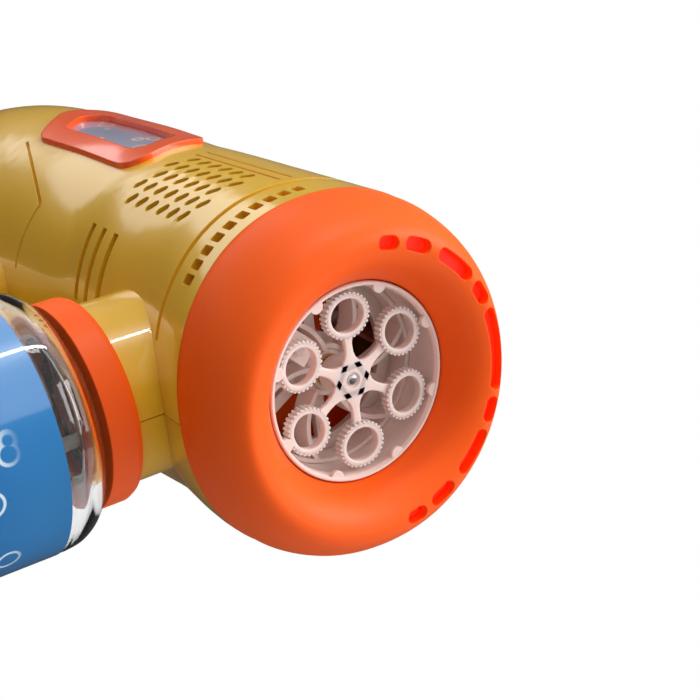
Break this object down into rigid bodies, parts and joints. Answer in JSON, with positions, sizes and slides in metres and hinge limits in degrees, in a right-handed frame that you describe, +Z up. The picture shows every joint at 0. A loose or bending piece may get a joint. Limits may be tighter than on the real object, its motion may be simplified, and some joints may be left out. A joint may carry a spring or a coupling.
{
  "type": "bubble machine",
  "caption": "Hand-held battery bubble machine: round barrel with a ring nose, rotating wand wheel, screw-in solution bottle and trigger grip.",
  "frame": {"origin": "middle of the footprint, at the level of the bottle's base and the grip's end", "axes": "-Y is the way the nose points, +Z up with the toy standing on its bottle and grip, +X the operator's left"},
  "size_m": [0.0798, 0.2175, 0.1576],
  "materials": {
    "yellow_shell": "glossy moulded",
    "orange_nose": "satin moulded",
    "orange_trim": "glossy moulded",
    "red_lens": "translucent",
    "white_plastic": "satin translucent white",
    "badge_print": "printed and lacquered",
    "label_print": "printed film",
    "clear_bottle": "clear moulded plastic",
    "soft_tube": "translucent soft",
    "gasket": "soft",
    "steel": "plated",
    "brass": "sintered",
    "motor_can": "plated can",
    "board": "solder resist",
    "black_plastic": "moulded",
    "cell_wrap": "wrapped",
    "led_clear": "clear tinted",
    "wire": "insulated"
  },
  "bodies": {
    "body": {"shell_right": "yellow_shell", "shell_left": "yellow_shell", "shell_screws": "steel", "nose_ring": "orange_nose", "light_diffuser": "red_lens", "led_board": "board", "leds": "led_clear", "badge_frame_right": "orange_trim", "badge_frame_left": "orange_trim", "badge_plate_right": "badge_print", "badge_plate_left": "badge_print", "wand_tray": "white_plastic", "tray_bush": "brass", "air_guide": "white_plastic", "feed_nozzle": "white_plastic", "idler_pin": "steel", "drive_motor": "motor_can", "bulkhead": "orange_nose", "bulkhead_bush": "brass", "rear_plate": "black_plastic", "plate_screws": "steel", "fan_motor": "motor_can", "pump_housing": "white_plastic", "pump_tube": "soft_tube", "dip_tube": "soft_tube", "collar": "orange_nose", "neck_plug": "white_plastic", "trigger_spring": "steel", "switch_bracket": "black_plastic", "trigger_switch": "black_plastic", "battery_holder": "black_plastic", "battery_cells": "cell_wrap", "battery_contacts": "steel", "control_board": "board", "board_parts": "black_plastic", "board_screws": "steel", "board_frame": "black_plastic", "battery_leads": "wire", "motor_leads": "wire"},
    "wand_wheel": {"wand_wheel": "white_plastic", "wheel_screw": "steel", "wand_shaft": "steel", "wheel_gear": "white_plastic"},
    "idler": {"idler_gear": "white_plastic"},
    "drive": {"motor_pinion": "brass", "drive_shaft": "steel"},
    "pump": {"pump_rotor": "white_plastic", "pump_rollers": "white_plastic", "pump_gear": "white_plastic"},
    "fan": {"fan_impeller": "white_plastic", "fan_shaft": "steel"},
    "trigger": {"trigger": "orange_trim"},
    "battery_door": {"battery_door": "yellow_shell", "door_screw": "steel"},
    "bottle_seal": {"neck_gasket": "gasket"},
    "bottle": {"bottle": "clear_bottle", "bottle_label": "label_print"}
  },
  "joints": [
    {"name": "wheel_spin", "type": "hinge", "parent": "body", "child": "wand_wheel", "pos_m": [0, -0.0982, 0.121], "axis": [0, 1, 0], "continuous": true},
    {"name": "idler_spin", "type": "hinge", "parent": "body", "child": "idler", "pos_m": [0.01052, -0.0682, 0.11778], "axis": [0, 1, 0], "continuous": true},
    {"name": "drive_spin", "type": "hinge", "parent": "body", "child": "drive", "pos_m": [0.02184, -0.0642, 0.11978], "axis": [0, 1, 0], "continuous": true},
    {"name": "pump_spin", "type": "hinge", "parent": "body", "child": "pump", "pos_m": [0, -0.0682, 0.101], "axis": [0, 1, 0], "continuous": true},
    {"name": "fan_spin", "type": "hinge", "parent": "body", "child": "fan", "pos_m": [0, -0.0682, 0.1415], "axis": [0, 1, 0], "continuous": true},
    {"name": "trigger_pull", "type": "slide", "parent": "body", "child": "trigger", "axis": [0, 1, 0], "range_m": [0, 0.0045], "stiffness_N_per_m": 300, "springref_m": -0.001, "deforming": ["trigger_spring"]},
    {"name": "door_slide", "type": "slide", "parent": "body", "child": "battery_door", "axis": [1, 0, 0], "range_m": [0, 0.03]},
    {"name": "bottle_pull", "type": "slide", "parent": "body", "child": "bottle_seal", "axis": [0, 0, -1], "range_m": [0, 0.085]},
    {"name": "bottle_turn", "type": "hinge", "parent": "bottle_seal", "child": "bottle", "pos_m": [0, -0.0634, 0.061], "axis": [0, 0, -1], "range_deg": [0, 450]}
  ],
  "couplings": [
    {"joint": "idler_spin", "follows": "wheel_spin", "ratio": -2.6667},
    {"joint": "drive_spin", "follows": "wheel_spin", "ratio": 9.6},
    {"joint": "pump_spin", "follows": "wheel_spin", "ratio": -0.66667}
  ]
}
